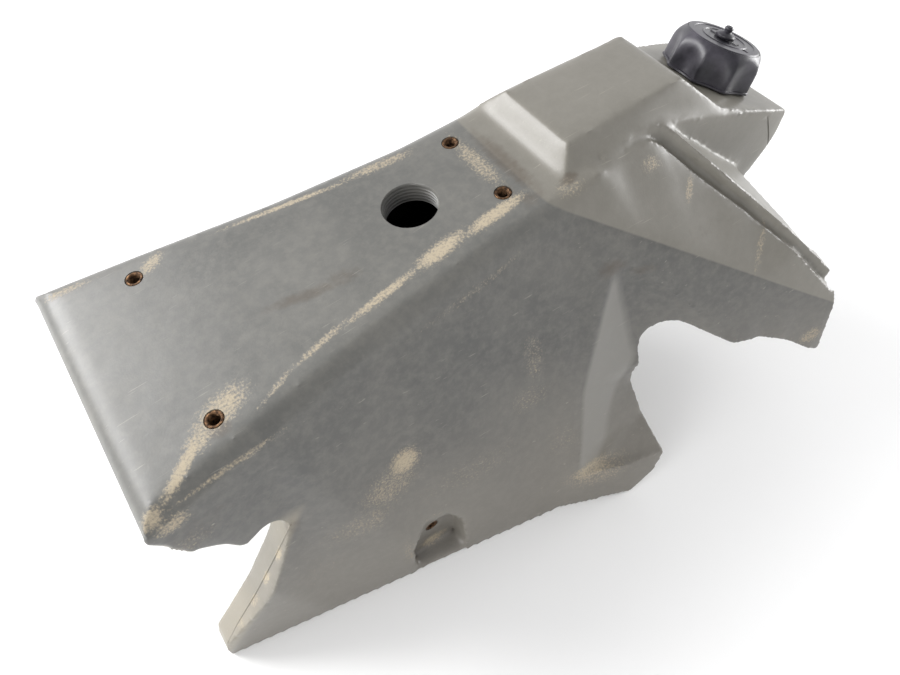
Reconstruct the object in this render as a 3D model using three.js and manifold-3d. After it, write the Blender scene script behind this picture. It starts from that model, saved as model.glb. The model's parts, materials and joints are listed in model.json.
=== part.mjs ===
// A moulded plastic fuel tank for an off-road motorcycle, with its screw cap, vent and fuel tap.
// Millimetres, +X towards the steering head, +Y to the rider's left, +Z up. The tank stands on the
// flat undersides of its two panniers, and the origin is the middle of its length, on that plane.
import * as THREE from "three";
import { ConvexGeometry } from "three/addons/geometries/ConvexGeometry.js";
import { mergeVertices } from "three/addons/utils/BufferGeometryUtils.js";
import Module from "manifold-3d";

const wasm = await Module();
wasm.setup();

// ---------------------------------------------------------------- driving dimensions
const wall = 5; // thickness of the moulded wall
const gap = 0.3; // clearance between pieces that touch
const seamOverlap = 1e-4; // neighbouring slices of the form reach this far into each other
const needleHeight = 0.004; // triangles flatter than this are closed up along their short edge
const needleWidth = 0.4;

const length = 538; // rear tip of the panniers to the nose
const tipWidth = 165; // half-width at the front upper corners of the wings
const deckHeight = 241; // deck above the ground at its rear edge
const deckRise = 0.1194; // the deck climbs forward by this much per millimetre
const deckRearX = 10; // rear face of the seat deck
const rearHalfWidth = 96; // half-width of the deck block at its rear corners
const waistHalfWidth = 62; // half-width where the deck meets the hump
const waistX = 308;
const waistSlim = 9; // the left side is this much slimmer than the right at the waist
const bevelWidth = 9; // chamfer between deck and side panel
const bevelDrop = 8;
const edgeRadius = 10; // rounding of the deck's rear edge

const legHalfWidth = 90; // half-width of the panniers at their rear tips
const midHalfWidth = 139.5; // half-width of the panniers at the ground, ahead of the middle
const midX = 280;
const toeHalfWidth = 163.5; // half-width of the panniers at the toes
const toeX = 340;
const tunnelHalfWidth = 72; // room between the panniers for frame and engine
const tunnelRoof = 165;
const backboneHalfWidth = 27; // groove in the tunnel roof for the frame's backbone tube
const backboneRoof = 208;

const humpRearX = 328; // top edges of the hump ahead of the deck
const humpFrontX = 427;
const humpRise = 52; // top of the hump above the deck's rear edge
const humpFrontRise = 59;
const humpHalfWidth = 33;
const rampFootX = 316;
const shelfRearSetback = 77; // sloping shelf that carries the filler neck, back from the nose
const shelfRearRise = 30;
const shelfFrontSetback = 23;
const shelfFrontRise = 10.5;
const shelfHalfWidth = 50;
const noseDrop = 9; // tip of the nose below the deck's rear edge

const wingTipSetback = 22; // front upper corner of each wing, back from the nose
const wingTipDrop = 103; // and below the deck's rear edge
const wingFootHalfWidth = 190; // where the wing's panel would meet the ground
const wingInnerSetback = 44; // front edge of the wings beside the nose
const wingHornHalfWidth = 131; // outside this the wing runs on to its tip
const bayRoof = 150; // underside of the wings, over the radiators
const lipThickness = 24; // thickness of the wing's hanging side panel

const capSetback = 42; // filler neck's middle, on the shelf
const neckBore = 44;
const neckDiameter = 54;
const neckHeight = 21;
const threadPitch = 6; // filler thread, one start
const threadRadius = 1.2; // round section of the moulded thread
const threadTurns = 1.75;
const capDiameter = 72;
const capHeight = 28;
const capLobes = 9;
const scallopDepth = 2.6;

const portX = 231.5; // round port in the deck
const portDiameter = 36;
const portThreadDiameter = 39;
const portCollarDiameter = 50;
const portCollarDepth = 16;

const insertDiameter = 10; // threaded brass inserts moulded into bosses
const insertBore = 6;
const insertLength = 11;
const insertFlange = 11.4;
const insertFlangeThickness = 1;
const bossDiameter = 17;
const rearInsertX = 68;
const rearInsertY = 59.7;
const frontInsertX = 282;
const frontInsertY = 29;

const pocketX = 173; // fixing pocket low on each side panel
const pocketWidth = 42;
const pocketTop = 58;
const pocketSill = 6; // height of the ledge that closes it below
const pocketHalfWidth = 104; // its upright floor
const pocketInsertHeight = 40;

const discRadius = 28; // plate in the cap's top
const discSink = 1.4;
const capSkirtLow = 1.5;
const sealThickness = 1.6;
const ventPlugRadius = 3.9;
const ballRadius = 1.9; // vent ball and how far it lifts
const ballTravel = 1;
const ballSeatHeight = 0.6;

const tapX = 232; // fuel tap in the inner wall of the left pannier
const tapHeight = 42;
const tapScrewSpread = 22; // half the distance between its screws
const tapScrewDiameter = 5;
const tapInsertDiameter = 8.6;
const tapInsertLength = 10;
const tapBossDiameter = 14;
const tapSealThickness = 1.5;
const tapFlangeThickness = 5;
const tapBarrelRadius = 12.5;
const tapFaceHeight = 22; // front face of the barrel above the wall
const outletLength = 22;
const outletHeight = 12;
const strainerRadius = 5.2;
const strainerLength = 32;
const drumRadius = 9.4;
const drumDepth = 6.5;
const packingThickness = 2.6;
const plateBore = 6.6;
const plateScrewSpread = 13.2;
const plateScrewDiameter = 3;
const plateThickness = 1.5;
const washerThickness = 0.5;
const leverLength = 26;
const leverThickness = 7;
const leverRise = 3.2; // underside of its blade above the drum, clear of the plate screws' heads

// ---------------------------------------------------------------- helpers
const V = (x, y, z) => new THREE.Vector3(x, y, z);

// A closed three.js geometry as a solid.
function solid(geometry) {
  const bare = geometry.clone();
  bare.deleteAttribute("normal");
  bare.deleteAttribute("uv");
  const merged = mergeVertices(bare, 1e-4);
  const vertProperties = new Float32Array(merged.attributes.position.array);
  const triVerts = new Uint32Array(merged.index.array);
  return new wasm.Manifold(new wasm.Mesh({ numProp: 3, vertProperties, triVerts }));
}

// A solid as a three.js geometry.
function geometryOf(made) {
  const mesh = made.getMesh();
  const geometry = new THREE.BufferGeometry();
  geometry.setAttribute("position", new THREE.BufferAttribute(mesh.vertProperties, 3));
  geometry.setIndex(new THREE.BufferAttribute(mesh.triVerts, 1));
  geometry.computeVertexNormals();
  return geometry;
}

// The same solid without its needle triangles: the short edge of each one closes up to a point.
function withoutNeedles(made) {
  const mesh = made.getMesh();
  const corner = (i) => new THREE.Vector3().fromArray(mesh.vertProperties, 3 * i);
  const target = Array.from({ length: mesh.numVert }, (_, i) => i);
  const resolve = (i) => (target[i] === i ? i : resolve(target[i]));
  let faces = Array.from({ length: mesh.numTri }, (_, i) => [...mesh.triVerts.slice(3 * i, 3 * i + 3)]);
  for (let pass = 0; pass < 4; pass++) {
    for (const face of faces) {
      const ids = face.map(resolve);
      if (new Set(ids).size < 3) continue;
      const [a, b, c] = ids.map(corner);
      const edges = [[a, b, 0, 1], [b, c, 1, 2], [c, a, 2, 0]].map(([p, q, i, j]) => [p.distanceTo(q), i, j]);
      edges.sort((p, q) => p[0] - q[0]);
      const height = (2 * new THREE.Triangle(a, b, c).getArea()) / edges[2][0];
      if (height > needleHeight || edges[0][0] > needleWidth) continue;
      target[ids[edges[0][1]]] = ids[edges[0][2]];
    }
    faces = faces.map((face) => face.map(resolve)).filter((face) => new Set(face).size === 3);
  }
  const triVerts = new Uint32Array(faces.flat());
  return new wasm.Manifold(new wasm.Mesh({ numProp: 3, vertProperties: mesh.vertProperties, triVerts }));
}

const join = (parts) => parts.reduce((a, b) => a.add(b));
const cut = (body, tools) => tools.reduce((a, b) => a.subtract(b), body);

// The convex block around some corner points, with every face moved out by grow. Faces for which
// seam(normal) is true join a neighbouring block, and stay where they are.
function block(points, grow = 0, seam = () => false) {
  const hull = new ConvexGeometry(points).attributes.position;
  let body = solid(new THREE.BoxGeometry(2 * length, 2 * length, 2 * length));
  body = body.translate([length / 2, 0, deckHeight / 2]);
  const seen = new Set();
  for (let i = 0; i < hull.count; i += 3) {
    const [a, b, c] = [0, 1, 2].map((k) => new THREE.Vector3().fromBufferAttribute(hull, i + k));
    const plane = new THREE.Plane().setFromCoplanarPoints(a, b, c);
    const n = plane.normal;
    const key = [n.x, n.y, n.z, plane.constant / 50].map((v) => v.toFixed(3)).join();
    if (seen.has(key)) continue;
    seen.add(key);
    const reach = -plane.constant + (seam(n) ? seamOverlap : grow);
    body = body.trimByPlane([-n.x, -n.y, -n.z], -reach);
  }
  return body;
}

// Corner points at both sides of the tank.
const bothSides = (points) => points.flatMap(([x, y, z]) => [V(x, y, z), V(x, -y, z)]);

// The same for the panels. Above the tunnel roof the left one is slimmer around the waist.
const slimAt = (x) =>
  waistSlim * THREE.MathUtils.clamp((x - 60) / 240, 0, 1) * THREE.MathUtils.clamp((410 - x) / 90, 0, 1);
const panels = (points) =>
  points.flatMap(([x, y, z]) => [V(x, z > tunnelRoof ? y - slimAt(x) : y, z), V(x, -y, z)]);

// Reads a line of [x, ...values] corners at any x between them.
function along(line, x) {
  const i = Math.max(1, line.findIndex((p) => p[0] >= x));
  const [a, b] = [line[i - 1], line[i]];
  const t = (x - a[0]) / (b[0] - a[0]);
  return a.slice(1).map((v, k) => v + t * (b[k + 1] - v));
}

// A closed outline with each edge moved outwards by grow. The outline runs anticlockwise.
function growOutline(points, grow) {
  const count = points.length;
  return points.map(([x, z], i) => {
    const [px, pz] = points[(i + count - 1) % count];
    const [nx, nz] = points[(i + 1) % count];
    const before = new THREE.Vector2(z - pz, px - x).normalize();
    const after = new THREE.Vector2(nz - z, x - nx).normalize();
    const scale = grow / Math.max(0.35, 1 + before.dot(after));
    return [x + (before.x + after.x) * scale, z + (before.y + after.y) * scale];
  });
}

// An outline in X and Z, extruded across the tank from y = from to y = to.
function across(outline, grow, from, to) {
  const shape = new THREE.Shape(growOutline(outline, grow).map(([x, z]) => new THREE.Vector2(x, z)));
  const geometry = new THREE.ExtrudeGeometry(shape, { depth: to - from, bevelEnabled: false });
  geometry.rotateX(Math.PI / 2);
  return solid(geometry.translate(0, to, 0));
}

// A turned piece about +Z from [radius, height] corners that start and end on the axis.
function turned(profile, segments = 20) {
  const corners = profile.map(([r, h]) => new THREE.Vector2(r, h));
  return solid(new THREE.LatheGeometry(corners, segments).rotateX(Math.PI / 2));
}

// A plain cylinder about +Z between two heights.
const rod = (radius, low, high, segments = 20) =>
  turned([[0, low], [radius, low], [radius, high], [0, high]], segments);

// ---------------------------------------------------------------- lines of the tank's form
const wingTipX = length - wingTipSetback;
const wingTipHeight = deckHeight - wingTipDrop;
const wingInnerX = length - wingInnerSetback;
const humpHeight = deckHeight + humpRise;
const humpFrontHeight = deckHeight + humpFrontRise;
const shelfRearX = length - shelfRearSetback;
const shelfRearHeight = deckHeight + shelfRearRise;
const shelfFrontX = length - shelfFrontSetback;
const shelfFrontHeight = deckHeight + shelfFrontRise;
const noseHeight = deckHeight - noseDrop;
const deckAt = (x) => deckHeight + deckRise * (x - deckRearX);

// Crease between deck bevel and side panel, then down the outer edge of the wing: x, half-width, z.
const crease = [
  [0, rearHalfWidth + 2, deckAt(0) - bevelDrop],
  [82, 84, deckAt(82) - bevelDrop],
  [165, 71, deckAt(165) - bevelDrop],
  [255, waistHalfWidth + 0.5, deckAt(255) - bevelDrop],
  [waistX, waistHalfWidth, deckAt(waistX) - bevelDrop],
  [wingTipX, tipWidth, wingTipHeight],
  [length + 20, tipWidth + 10.9, wingTipHeight - 26.3],
];
// Where the side panels meet the ground, or would meet it ahead of the toes: x, half-width.
const foot = [
  [0, legHalfWidth],
  [midX, midHalfWidth],
  [toeX, toeHalfWidth],
  [length + 20, wingFootHalfWidth + 5],
];
// Upper edge of the wing's outer facet, and the raised lip just inside it: x, half-width, and
// height above the deck's rear edge.
const facetEdge = [
  [waistX, 53, deckRise * (waistX - deckRearX)],
  [338, 54, 40],
  [359, 50, 38],
  [378, 48, 40.5],
  [388, 48, 40.5],
  [399, 52, 33],
  [421, 70, 11.5],
  [453, 99, -18],
  [483, 133, -48],
  [wingTipX, 158, -89],
  [length + 20, 171, -139],
];
const lip = [
  [327, 49, 37],
  [348, 50, 40],
  [371, 45, 43],
  [386, 43, 44.6],
  [398, 45, 43],
  [405, 49, 40],
  [420, 66, 24.5],
  [453, 95, -9],
  [484, 128, -42],
  [wingTipX, 151, -78],
  [length + 20, 168, -126],
];
// The inner strip of the wing starts at the nose's side wall and falls forward.
const stripAt = (x) => Math.min(deckHeight + 38 - 0.745 * (x - 405), humpHeight - 6.5);

// Half-width of the side panel at a place.
function sideAt(x, z) {
  const [topWidth, topZ] = along(crease, x);
  const [footWidth] = along(foot, x);
  return topWidth + ((footWidth - topWidth) * (topZ - z)) / topZ;
}

// ---------------------------------------------------------------- form of the tank
const seamX = (first, last) => (n) =>
  (n.x < -0.999 && !first) || (n.x > 0.999 && !last);

// Deck and panniers, in slices between stations.
function deckForm(grow) {
  const stations = [0, 82, 165, 255, midX, waistX];
  const section = (x) => {
    const [width, z] = along(crease, x);
    const [footWidth] = along(foot, x);
    return [[x, width - bevelWidth, deckAt(x)], [x, width, z], [x, footWidth, 0]];
  };
  return join(
    stations.slice(1).map((x, i) =>
      block(panels([...section(stations[i]), ...section(x)]), grow, seamX(i === 0, false)),
    ),
  );
}

// Outer facet and side panel of the wings, full width down to the ground.
function facetForm(grow) {
  const stations = [waistX, 338, 359, 378, 388, 399, 421, 453, 483, wingTipX + 4];
  const section = (x) => {
    const [edgeWidth, rise] = along(facetEdge, x);
    const [width, z] = along(crease, x);
    const [footWidth] = along(foot, x);
    return [[x, edgeWidth, deckHeight + rise], [x, width, z], [x, footWidth, 0]];
  };
  return join(
    stations.slice(1).map((x, i) =>
      block(panels([...section(stations[i]), ...section(x)]), grow,
        seamX(false, i === stations.length - 2)),
    ),
  );
}

// Raised inner part of the wings, between lip and nose.
function stripForm(grow) {
  const stations = [348, 371, 386, 398, 405, 420, 453, 484, wingTipX];
  const depth = 70;
  const section = (x) => {
    const [width, rise] = along(lip, x);
    const z = deckHeight + rise;
    return [[x, 40, stripAt(x)], [x, width, z], [x, width + 1, z - depth]];
  };
  return join(
    stations.slice(1).map((x, i) =>
      block(panels([...section(stations[i]), ...section(x)]), grow,
        seamX(i === 0, i === stations.length - 2)),
    ),
  );
}

// Hump behind the filler.
const humpForm = (grow) =>
  block(bothSides([
    [rampFootX, 47, deckAt(rampFootX) + 0.3],
    [humpRearX, humpHalfWidth, humpHeight],
    [humpFrontX, humpHalfWidth - 3, humpFrontHeight],
    [shelfRearX, shelfHalfWidth - 4.5, shelfRearHeight],
    [rampFootX, 52, 200],
    [shelfRearX, 52, 190],
  ]), grow);

// Nose with the filler shelf, undercut for the steering head.
const noseRearX = shelfRearX - 61; // where the nose is rooted in the hump
const noseForm = (grow) =>
  block(bothSides([
    [shelfRearX, shelfHalfWidth - 4.5, shelfRearHeight],
    [shelfFrontX, shelfHalfWidth + 4, shelfFrontHeight],
    [length - 3, shelfHalfWidth + 3, noseHeight + 11],
    [length, shelfHalfWidth + 2, noseHeight],
    [length - 4, shelfHalfWidth + 3, noseHeight - 14],
    [length - 12, shelfHalfWidth + 4, noseHeight - 24],
    [length - 22, shelfHalfWidth + 4, noseHeight - 31],
    [length - 23, shelfHalfWidth + 2, noseHeight - 50],
    [noseRearX, 52, 170],
    [noseRearX, 45, shelfRearHeight + 13],
  ]), grow);

// Rear of the deck block and of the legs: x, z, anticlockwise with the air on the inside.
const rearAir = [
  [-30, -30],
  [0, -30],
  [0, 14],
  [3, 29],
  [17, 47],
  [40, 78],
  [63, 119],
  [76, 148],
  [75, 160],
  [70, 166],
  [62, 168],
  [53, 164],
  [47, 166],
  [41, 179],
  [36, 185],
  [29, 191],
  [22, 200],
  [16, 214],
  [deckRearX, 226],
  [deckRearX, deckHeight - edgeRadius],
  [deckRearX + 3, deckHeight - 3],
  [deckRearX + edgeRadius, deckAt(deckRearX + edgeRadius)],
  [deckRearX + edgeRadius, deckHeight + 40],
  [-30, deckHeight + 40],
];
// Air under the wings and ahead of the panniers, the same way round.
const archAir = [
  [length + 40, -30],
  [length + 40, 76],
  [522, 81],
  [506, 90],
  [489, 103],
  [473, 113],
  [459, 119],
  [433, 122],
  [420, 131],
  [406, 141],
  [393, 150],
  [382, 153],
  [372, 151],
  [365, 145],
  [361, 132],
  [361, 112],
  [364, 90],
  [369, 60],
  [374, 28],
  [362, 12],
  [toeX, 0],
  [toeX, -30],
];

// Everything that is cut out of the form, for a wall's outer face (grow 0) or inner face.
function air(grow) {
  const wide = length;
  const bayFrontX = length + 40;
  return [
    across(rearAir, grow, -wide, wide),
    across(archAir, grow, -wide, wide),
    block(bothSides([
      [-40, tunnelHalfWidth, -40],
      [-40, tunnelHalfWidth, tunnelRoof - 4],
      [-40, tunnelHalfWidth - 8, tunnelRoof],
      [bayFrontX, tunnelHalfWidth - 8, tunnelRoof],
      [bayFrontX, tunnelHalfWidth, tunnelRoof - 4],
      [bayFrontX, tunnelHalfWidth, -40],
    ]), grow),
    block(bothSides([
      [-40, backboneHalfWidth, tunnelRoof - 60],
      [-40, backboneHalfWidth, backboneRoof - 18],
      [-40, backboneHalfWidth - 10, backboneRoof - 8],
      [bayFrontX, backboneHalfWidth, tunnelRoof - 60],
      [bayFrontX, backboneHalfWidth, backboneRoof - 8],
      [bayFrontX, backboneHalfWidth - 10, backboneRoof + 2],
    ]), grow),
    block(bothSides([
      [366, sideAt(366, 120) - lipThickness, -40],
      [366, sideAt(366, 120) - lipThickness - 4, bayRoof + 4],
      [bayFrontX, sideAt(wingTipX, 100) - lipThickness + 6, -40],
      [bayFrontX, sideAt(wingTipX, 100) - lipThickness + 2, bayRoof - 6],
    ]), grow),
    ...[1, -1].map((side) => scoop(side, grow)),
    ...[1, -1].map((side) => pocket(side, grow)),
  ];
}

// The air scoop let into the side panel ahead of the pannier, in slices of height. Each row gives
// the height, the x of the crease where it leaves the panel, its valley, the foot of its front
// slope, and the x where it runs out in the panel again.
function scoop(side, grow) {
  const rows = [
    [34, 297, [320, 134], [360, 155], 377],
    [60, 300, [328, 129], [370, 127], 430],
    [90, 303, [342, 121], [368, 111], 440],
    [122, 306.5, [351, 112], [414, 130], 433],
    [146, 312, [356, 103], [402, 119], 416],
    [172, 320, [356, 96], [384, 107], 394],
    [200, 329, [349, 88], [363, 95], 370],
    [224, 337, [340, 84.5], [342, 85.5], 344],
  ];
  const far = 260;
  const corners = ([z, creaseX, valley, slope, endX]) =>
    [
      [creaseX, sideAt(creaseX, z)],
      valley,
      slope,
      [endX, sideAt(endX, z)],
      [endX, far],
      [creaseX, far],
    ].map(([x, y]) => V(x, side * y, z));
  const seamZ = (i) => (n) => (n.z < -0.999 && i > 0) || (n.z > 0.999 && i < rows.length - 2);
  return join(
    rows.slice(1).map((row, i) => block([...corners(rows[i]), ...corners(row)], grow, seamZ(i))),
  );
}

// Fixing pocket, closed below by a low sill, with chamfered upper corners.
function pocket(side, grow) {
  const half = pocketWidth / 2;
  const outline = [
    [-half, pocketSill],
    [half, pocketSill],
    [half, pocketTop - 14],
    [half - 10, pocketTop],
    [14 - half, pocketTop],
    [-half, pocketTop - 22],
  ];
  return block(
    outline.flatMap(([x, z]) => [
      V(pocketX + x, side * pocketHalfWidth, z),
      V(pocketX + x, side * (pocketHalfWidth + 40), z),
    ]),
    grow,
  );
}

// The whole outline, or with grow negative the hollow that leaves a wall of that thickness.
function form(grow) {
  const open = -grow;
  const wings = cut(join([facetForm(grow), stripForm(grow)]), [
    block(bothSides([
      [wingInnerX + 12, 40, -40],
      [wingInnerX + 12, 40, 320],
      [wingInnerX - 3, wingHornHalfWidth, -40],
      [wingInnerX - 3, wingHornHalfWidth, 320],
      [length + 60, wingHornHalfWidth + 2, -40],
      [length + 60, wingHornHalfWidth + 2, 320],
    ]), open),
  ]);
  return cut(join([deckForm(grow), wings, humpForm(grow), noseForm(grow)]), air(open));
}

// ---------------------------------------------------------------- places on the tank
// A place is a point with the two turns that bring +Z to the outward direction there.
const degrees = THREE.MathUtils.radToDeg;
const deckTilt = -degrees(Math.atan(deckRise));
const shelfSlope = (shelfRearHeight - shelfFrontHeight) / (shelfFrontX - shelfRearX);
const neckTilt = degrees(Math.atan(shelfSlope));
const onDeck = (x, y) => ({ at: [x, y, deckAt(x)], turn: [0, deckTilt, 0] });
const neckPlace = {
  at: [length - capSetback, 0, shelfFrontHeight + shelfSlope * (capSetback - shelfFrontSetback)],
  turn: [0, neckTilt, 0],
};
const tapPlace = { at: [tapX, tunnelHalfWidth, tapHeight], turn: [90, 0, 0] };
const pocketPlace = (side) => ({
  at: [pocketX, side * pocketHalfWidth, pocketInsertHeight],
  turn: [side > 0 ? -90 : 90, 0, 0],
});
const put = (body, place) => body.rotate(place.turn).translate(place.at);

const deckInserts = [
  ["rear_right", rearInsertX, -rearInsertY],
  ["rear_left", rearInsertX, rearInsertY],
  ["front_right", frontInsertX, -frontInsertY],
  ["front_left", frontInsertX, frontInsertY],
];
const insertPlaces = [
  ...deckInserts.map(([name, x, y]) => ["deck_insert_" + name, onDeck(x, y)]),
  ["side_insert_right", pocketPlace(-1)],
  ["side_insert_left", pocketPlace(1)],
];

// ---------------------------------------------------------------- moulded thread
class Helix extends THREE.Curve {
  constructor(radius, start, turns, phase) {
    super();
    Object.assign(this, { radius, start, turns, phase });
  }
  getPoint(t, target = V(0, 0, 0)) {
    const angle = 2 * Math.PI * this.turns * t + this.phase;
    return target.set(
      this.radius * Math.cos(angle), this.radius * Math.sin(angle), this.start + threadPitch * this.turns * t,
    );
  }
}

// A right-hand ridge of round section, for a thread on a cylinder or in a bore.
function threadRidge(radius, start, turns, phase) {
  const section = new THREE.Shape().absarc(0, 0, threadRadius, 0, 2 * Math.PI);
  return solid(new THREE.ExtrudeGeometry(section, {
    steps: Math.round(turns * 20),
    curveSegments: 3,
    bevelEnabled: false,
    extrudePath: new Helix(radius, start, turns, phase),
  }));
}

// ---------------------------------------------------------------- shell
const neckRadius = neckDiameter / 2;
const threadStart = 5;

function shell() {
  const bossDepth = insertLength + 6;
  const flangeReach = insertFlangeThickness + gap;
  const bosses = insertPlaces.map(([, place]) => put(rod(bossDiameter / 2, -bossDepth, -1, 12), place));
  const collar = put(rod(portCollarDiameter / 2, -portCollarDepth, -1), onDeck(portX, 0));
  const tapBosses = [-1, 1].map((side) =>
    put(
      rod(tapBossDiameter / 2, -tapInsertLength - 5, -1, 12).translate([side * tapScrewSpread, 0, 0]),
      tapPlace,
    ),
  );
  const fuelSpace = cut(form(-wall), [...bosses, collar, ...tapBosses]);
  const neck = join([
    rod(neckRadius, -2 * wall, neckHeight, 32),
    threadRidge(neckRadius, threadStart, threadTurns, 0),
  ]);
  const port = join([
    rod(portDiameter / 2, -portCollarDepth - 1, 1),
    ...[0, 1].map((i) => rod(portThreadDiameter / 2, -6 - 5 * i, -3.5 - 5 * i)),
  ]);
  const sockets = insertPlaces.map(([, place]) =>
    put(join([
      rod(insertDiameter / 2 + gap, -insertLength - gap, 1, 14),
      rod(insertFlange / 2 + gap, -flangeReach, 1, 14),
    ]), place),
  );
  const tapHoles = [
    put(rod(strainerRadius + 2 * gap + 0.5, -wall - 2, 1), tapPlace),
    ...[-1, 1].map((side) =>
      put(rod(tapInsertDiameter / 2 + gap, -tapInsertLength - gap, 1, 16)
        .translate([side * tapScrewSpread, 0, 0]), tapPlace),
    ),
  ];
  const hull = form(0).add(put(neck, neckPlace));
  return withoutNeedles(cut(hull, [
    fuelSpace,
    put(rod(neckBore / 2, -3 * wall, neckHeight + 1, 32), neckPlace),
    put(port, onDeck(portX, 0)),
    ...sockets,
    ...tapHoles,
  ]));
}

// ---------------------------------------------------------------- screw cap, about the neck's axis
const sealLow = neckHeight + gap;
const roofLow = sealLow + sealThickness + gap;
const capBore = neckRadius + threadRadius + 0.6; // radius inside the cap's skirt
const ballLow = roofLow + ballSeatHeight + gap; // underside of the ball on its seat

function capShell() {
  const radius = capDiameter / 2;
  const lobes = new THREE.Shape(
    Array.from({ length: capLobes * 6 }, (_, i) => {
      const angle = (2 * Math.PI * i) / (capLobes * 6);
      const r = radius - scallopDepth * Math.pow(Math.abs(Math.sin((capLobes * angle) / 2)), 3);
      return new THREE.Vector2(r * Math.cos(angle), r * Math.sin(angle));
    }),
  );
  const grip = solid(new THREE.ExtrudeGeometry(lobes, { depth: capHeight, bevelEnabled: false }));
  const dome = turned([
    [0, capSkirtLow],
    [radius - 1.5, capSkirtLow],
    [radius, capSkirtLow + 1.5],
    [radius, capHeight - 9],
    [radius - 1.2, capHeight - 4.5],
    [radius - 4, capHeight - 1.4],
    [radius - 7, capHeight],
    [0, capHeight],
  ], 36);
  return cut(grip.intersect(dome), [
    cut(rod(capBore, capSkirtLow - 1, roofLow, 32), [
      threadRidge(capBore, threadStart, threadTurns, Math.PI),
    ]),
    rod(discRadius + gap, capHeight - discSink - gap, capHeight + 1, 36),
    rod(ventPlugRadius + gap, roofLow - 1, capHeight, 16),
  ]);
}

// Top plate of the cap, let into its roof, with a small inspection notch beside the vent.
const capDisc = () =>
  cut(
    turned([
      [0, capHeight - discSink],
      [discRadius, capHeight - discSink],
      [discRadius, capHeight - 0.2],
      [discRadius - 1.5, capHeight + 0.8],
      [0, capHeight + 0.8],
    ], 36),
    [
      rod(ventPlugRadius + gap, 0, 2 * capHeight, 16),
      solid(new THREE.BoxGeometry(3, 5, 4).translate(0, -discRadius * 0.72, capHeight + 1.8)),
    ],
  );

const capGasket = () =>
  cut(rod(neckRadius + 0.6, sealLow, sealLow + sealThickness, 32), [
    rod(neckBore / 2 - 1, 0, 2 * capHeight, 32),
  ]);

// Vent plug: it drops through disc and roof, with the ball chamber below and the hose nipple above.
const ventPlug = () =>
  cut(
    turned([
      [0, roofLow - 0.5],
      [ventPlugRadius, roofLow - 0.5],
      [ventPlugRadius, capHeight + 1.1],
      [ventPlugRadius + 3.5, capHeight + 1.1],
      [ventPlugRadius + 3.5, capHeight + 3],
      [ventPlugRadius + 1.5, capHeight + 4.5],
      [3.1, capHeight + 5],
      [2.8, capHeight + 6.5],
      [3.3, capHeight + 7.5],
      [2.4, capHeight + 9],
      [0, capHeight + 9],
    ], 16),
    [
      rod(ballRadius + 0.4, roofLow - 1, ballLow + 2 * ballRadius + ballTravel + 0.2, 16),
      rod(1.4, roofLow, capHeight + 15, 16),
    ],
  );

// Ring pressed into the plug's foot: the ball rests on it.
const ventSeat = () =>
  cut(rod(ballRadius + 0.4 - gap, roofLow - 0.5, roofLow + ballSeatHeight, 24), [
    rod(1.6, roofLow - 2, capHeight, 16),
  ]);

const ventBall = () =>
  solid(new THREE.SphereGeometry(ballRadius, 14, 9)
    .translate(0, 0, ballLow + ballRadius));

// ---------------------------------------------------------------- inserts and screws
// A brass bush with a flange, a through thread and a grooved outside.
function threadedInsert(diameter, bore, long, flange) {
  const r = diameter / 2;
  const body = turned([
    [0, -long],
    [r, -long],
    [r, -long * 0.62],
    [r - 0.8, -long * 0.58],
    [r - 0.8, -long * 0.46],
    [r, -long * 0.42],
    [r, -insertFlangeThickness],
    [flange / 2, -insertFlangeThickness],
    [flange / 2, 0],
    [0, 0],
  ], 14);
  return cut(body, [rod(bore / 2, -long - 1, 1, 12)]);
}

// A button-head screw with a hexagon socket; the head's seat is at height 0.
function screw(diameter, long, headDiameter, headHeight) {
  const h = headDiameter / 2;
  const body = turned([
    [0, -long],
    [diameter / 2 - 0.5, -long],
    [diameter / 2, -long + 0.5],
    [diameter / 2, 0],
    [h, 0],
    [h, headHeight * 0.35],
    [h * 0.72, headHeight],
    [0, headHeight],
  ], 16);
  const key = diameter * 0.34;
  const socket = new THREE.CylinderGeometry(key, key, headHeight, 6).rotateX(Math.PI / 2);
  return cut(body, [solid(socket.translate(0, 0, headHeight * 0.85))]);
}

// ---------------------------------------------------------------- fuel tap, +Z out of the wall
const tapSealTop = gap + tapSealThickness;
const tapFlangeLow = tapSealTop + gap;
const tapFlangeTop = tapFlangeLow + tapFlangeThickness;
const drumLow = tapFaceHeight - drumDepth;
const packingTop = drumLow + packingThickness;
const drumTop = tapFaceHeight + 2;

// A flat plate with two round ears, or one round outline when spread is 0.
function eared(spread, earRadius, midRadius, low, high) {
  const ear = (x, r) => rod(r, low, high, 24).translate([x, 0, 0]);
  const bridge = solid(new THREE.BoxGeometry(2 * spread, 1.5 * earRadius, high - low)
    .translate(0, 0, (low + high) / 2));
  return join([ear(-spread, earRadius), ear(spread, earRadius), ear(0, midRadius), bridge]);
}
const screwHoles = (spread, radius, low, high) =>
  [-1, 1].map((side) => rod(radius, low, high, 16).translate([side * spread, 0, 0]));

const tapGasket = () =>
  cut(eared(tapScrewSpread, 6, 13, gap, tapSealTop), [
    ...screwHoles(tapScrewSpread, tapScrewDiameter / 2 + gap, -1, 20),
    rod(strainerRadius + gap, -1, 20),
  ]);

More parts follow.
